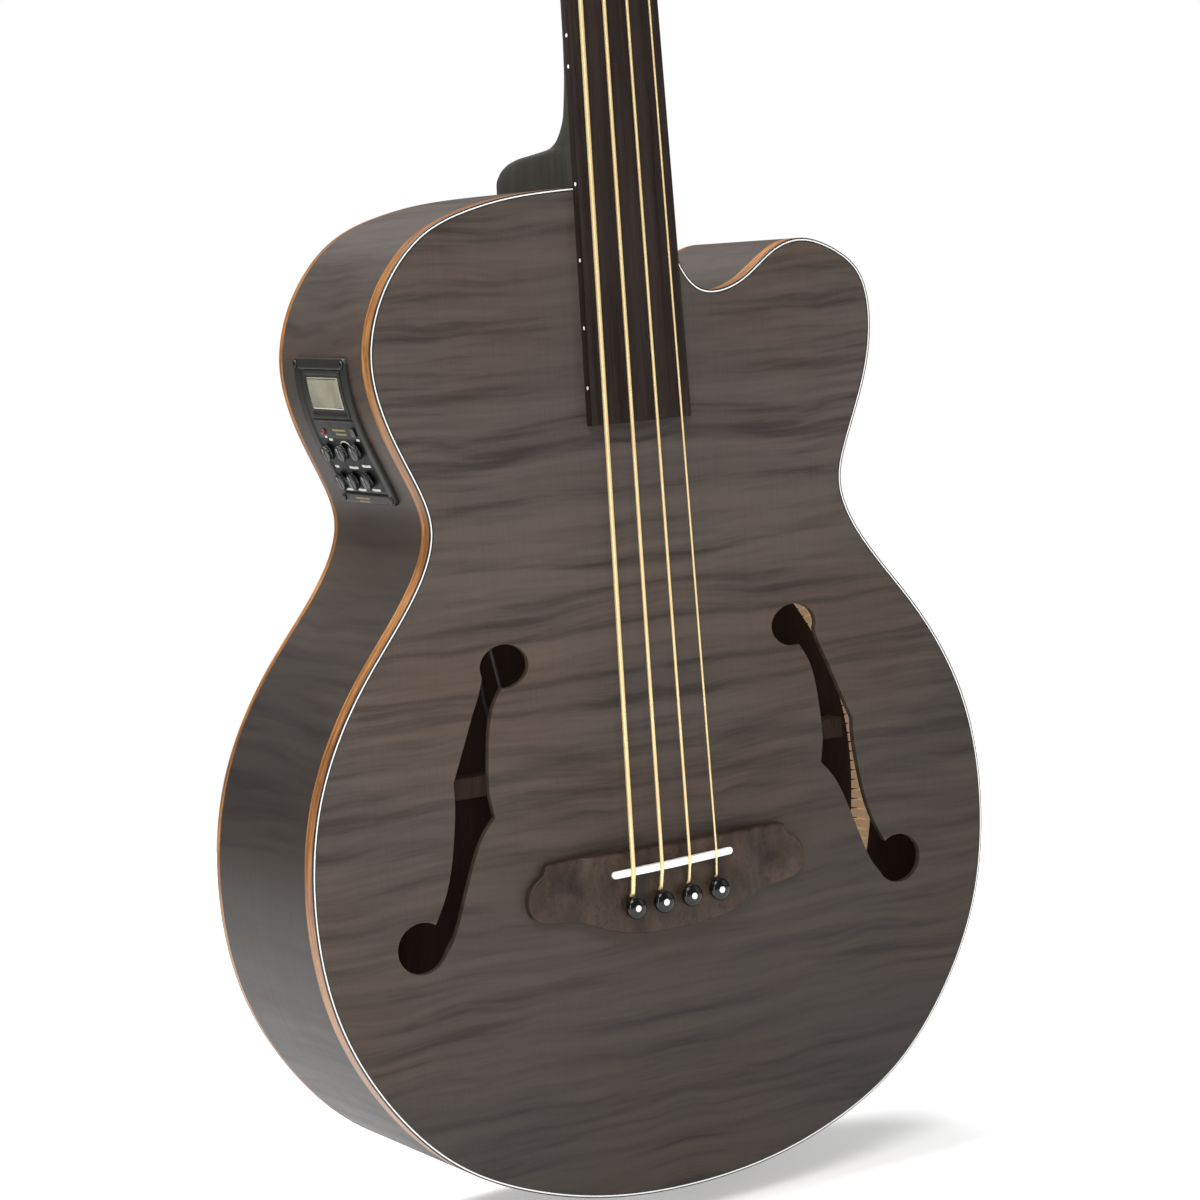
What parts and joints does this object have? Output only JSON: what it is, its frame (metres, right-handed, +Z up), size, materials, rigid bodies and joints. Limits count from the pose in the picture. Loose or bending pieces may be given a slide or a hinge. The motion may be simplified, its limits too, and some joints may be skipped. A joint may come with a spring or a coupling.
{
  "type": "acoustic-electric bass guitar",
  "caption": "Fretless acoustic-electric bass guitar with a rounded cutaway, f-holes, pinned bridge, side preamp and end-pin jack.",
  "frame": {"origin": "centre of the output jack's mouth at the tail end, on the centre line of the body", "axes": "+Z up the neck from the jack's mouth, +X to the player's thinnest string (the cutaway side), -Y out of the front"},
  "size_m": [0.422, 0.1417, 1.2421],
  "materials": {
    "flamed_maple": "satin, see-through black stain over flamed maple",
    "binding_wood": "satin, orange-brown wood",
    "white_trim": "satin white",
    "black_trim": "satin black",
    "inner_wood": "raw wood",
    "neck_wood": "satin, stained near black",
    "rosewood": "open-grained dark rosewood, oiled",
    "steel": "polished plate",
    "black_plastic": "gloss black",
    "saddle_white": "ivory white, satin",
    "bronze_string": "wound phosphor bronze",
    "black_screw": "black oxide",
    "panel_plastic": "moulded charcoal plastic",
    "knob_plastic": "moulded black plastic",
    "circuit_green": "solder-masked board",
    "lcd_glass": "grey-green display behind a clear window",
    "led_red": "clear red lens",
    "cable_black": "vinyl sleeve"
  },
  "bodies": {
    "instrument": {"soundboard": "flamed_maple", "back_plate": "flamed_maple", "ribs": "flamed_maple", "front_binding": "binding_wood", "white_purfling": "white_trim", "black_purfling": "black_trim", "back_binding": "binding_wood", "linings": "inner_wood", "neck_block": "inner_wood", "tail_block": "inner_wood", "top_braces": "inner_wood", "back_braces": "inner_wood", "bridge_plate": "inner_wood", "neck": "neck_wood", "fingerboard": "rosewood", "side_dots": "white_trim", "truss_rod": "steel", "truss_rod_cover": "black_plastic", "nut": "saddle_white", "headstock_veneer": "rosewood", "strap_button": "steel", "bridge": "rosewood", "saddle": "saddle_white", "saddle_pickup": "steel", "bridge_pins": "black_plastic", "pin_dots": "white_trim", "string_e": "bronze_string", "string_a": "bronze_string", "string_d": "bronze_string", "string_g": "bronze_string", "tuner_plates": "steel", "tuner_bushings": "steel", "small_screws": "black_screw", "preamp_panel": "panel_plastic", "preamp_housing": "panel_plastic", "circuit_board": "circuit_green", "battery": "panel_plastic", "lcd_screen": "lcd_glass", "led_lamp": "led_red", "output_jack": "steel", "wiring": "cable_black"},
    "tuning_button_e": {"tuner_button_e": "black_plastic"},
    "tuning_post_e": {"tuner_post_e": "steel", "string_wrap_e": "bronze_string"},
    "tuning_button_a": {"tuner_button_a": "black_plastic"},
    "tuning_post_a": {"tuner_post_a": "steel", "string_wrap_a": "bronze_string"},
    "tuning_button_d": {"tuner_button_d": "black_plastic"},
    "tuning_post_d": {"tuner_post_d": "steel", "string_wrap_d": "bronze_string"},
    "tuning_button_g": {"tuner_button_g": "black_plastic"},
    "tuning_post_g": {"tuner_post_g": "steel", "string_wrap_g": "bronze_string"},
    "dial_volume": {"knob_volume": "knob_plastic"},
    "dial_tone": {"knob_tone": "knob_plastic"},
    "dial_presence": {"knob_presence": "knob_plastic"},
    "dial_bass": {"knob_bass": "knob_plastic"},
    "dial_middle": {"knob_middle": "knob_plastic"},
    "dial_treble": {"knob_treble": "knob_plastic"},
    "switch": {"tuner_switch": "knob_plastic"}
  },
  "joints": [
    {"name": "turn_button_e", "type": "hinge", "parent": "instrument", "child": "tuning_button_e", "pos_m": [-0.026, -0.03283, 1.10076], "axis": [-1, 0, 0], "continuous": true},
    {"name": "turn_post_e", "type": "hinge", "parent": "instrument", "child": "tuning_post_e", "pos_m": [-0.026, -0.0518, 1.11417], "axis": [0, -0.9744, 0.225], "continuous": true},
    {"name": "turn_button_a", "type": "hinge", "parent": "instrument", "child": "tuning_button_a", "pos_m": [-0.022, -0.01844, 1.16312], "axis": [-1, 0, 0], "continuous": true},
    {"name": "turn_post_a", "type": "hinge", "parent": "instrument", "child": "tuning_post_a", "pos_m": [-0.022, -0.03741, 1.17653], "axis": [0, -0.9744, 0.225], "continuous": true},
    {"name": "turn_button_d", "type": "hinge", "parent": "instrument", "child": "tuning_button_d", "pos_m": [0.022, -0.01844, 1.16312], "axis": [1, 0, 0], "continuous": true},
    {"name": "turn_post_d", "type": "hinge", "parent": "instrument", "child": "tuning_post_d", "pos_m": [0.022, -0.03741, 1.17653], "axis": [0, -0.9744, 0.225], "continuous": true},
    {"name": "turn_button_g", "type": "hinge", "parent": "instrument", "child": "tuning_button_g", "pos_m": [0.026, -0.03283, 1.10076], "axis": [1, 0, 0], "continuous": true},
    {"name": "turn_post_g", "type": "hinge", "parent": "instrument", "child": "tuning_post_g", "pos_m": [0.026, -0.0518, 1.11417], "axis": [0, -0.9744, 0.225], "continuous": true},
    {"name": "turn_volume", "type": "hinge", "parent": "instrument", "child": "dial_volume", "pos_m": [-0.14337, 0.0111, 0.428], "axis": [-0.9122, 0, -0.4098], "range_deg": [-135, 135]},
    {"name": "turn_tone", "type": "hinge", "parent": "instrument", "child": "dial_tone", "pos_m": [-0.1435, -0.0063, 0.4283], "axis": [-0.9126, 0, -0.4089], "range_deg": [-135, 135]},
    {"name": "turn_presence", "type": "hinge", "parent": "instrument", "child": "dial_presence", "pos_m": [-0.14373, -0.0225, 0.4288], "axis": [-0.9132, 0, -0.4075], "range_deg": [-135, 135]},
    {"name": "turn_bass", "type": "hinge", "parent": "instrument", "child": "dial_bass", "pos_m": [-0.13606, 0.0113, 0.4123], "axis": [-0.9088, 0, -0.4173], "range_deg": [-135, 135]},
    {"name": "turn_middle", "type": "hinge", "parent": "instrument", "child": "dial_middle", "pos_m": [-0.1362, -0.0025, 0.4126], "axis": [-0.9082, 0, -0.4186], "range_deg": [-135, 135]},
    {"name": "turn_treble", "type": "hinge", "parent": "instrument", "child": "dial_treble", "pos_m": [-0.13638, -0.0192, 0.413], "axis": [-0.9074, 0, -0.4203], "range_deg": [-135, 135]},
    {"name": "press_switch", "type": "slide", "parent": "instrument", "child": "switch", "axis": [0.934, 0, 0.3574], "range_m": [0, 0.0008], "stiffness_N_per_m": 250}
  ],
  "couplings": [
    {"joint": "turn_post_e", "follows": "turn_button_e", "ratio": 0.05},
    {"joint": "turn_post_a", "follows": "turn_button_a", "ratio": 0.05},
    {"joint": "turn_post_d", "follows": "turn_button_d", "ratio": 0.05},
    {"joint": "turn_post_g", "follows": "turn_button_g", "ratio": 0.05}
  ]
}
